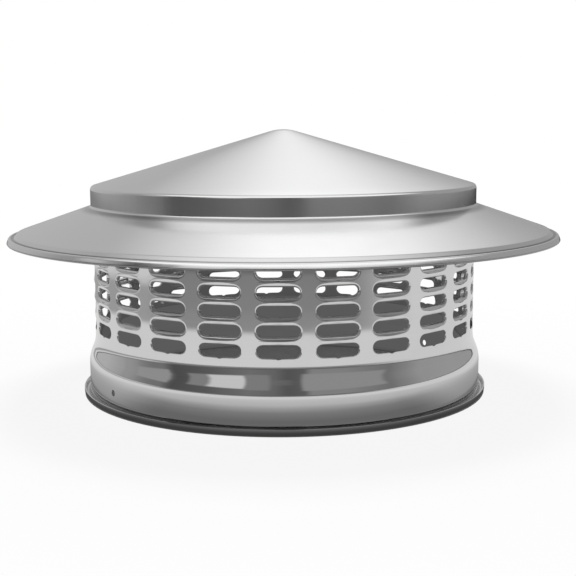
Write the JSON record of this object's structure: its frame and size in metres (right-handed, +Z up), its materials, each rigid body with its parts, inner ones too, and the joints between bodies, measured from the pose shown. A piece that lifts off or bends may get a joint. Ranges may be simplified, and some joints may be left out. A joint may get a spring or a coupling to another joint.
{
  "type": "chimney cap",
  "caption": "Round stainless chimney cap: a stepped conical rain roof over a slotted drum, with a flared collar that slides over a flue pipe.",
  "frame": {"origin": "on the cap's axis, at the height of the foot's underside", "axes": "+Z up along the axis; -Y is the front, the side with the middle column of slots"},
  "size_m": [0.28, 0.28, 0.1333],
  "materials": {
    "drum_steel": "bright polished",
    "roof_steel": "satin"
  },
  "bodies": {
    "root": {"drum": "drum_steel", "roof": "roof_steel"}
  },
  "joints": []
}
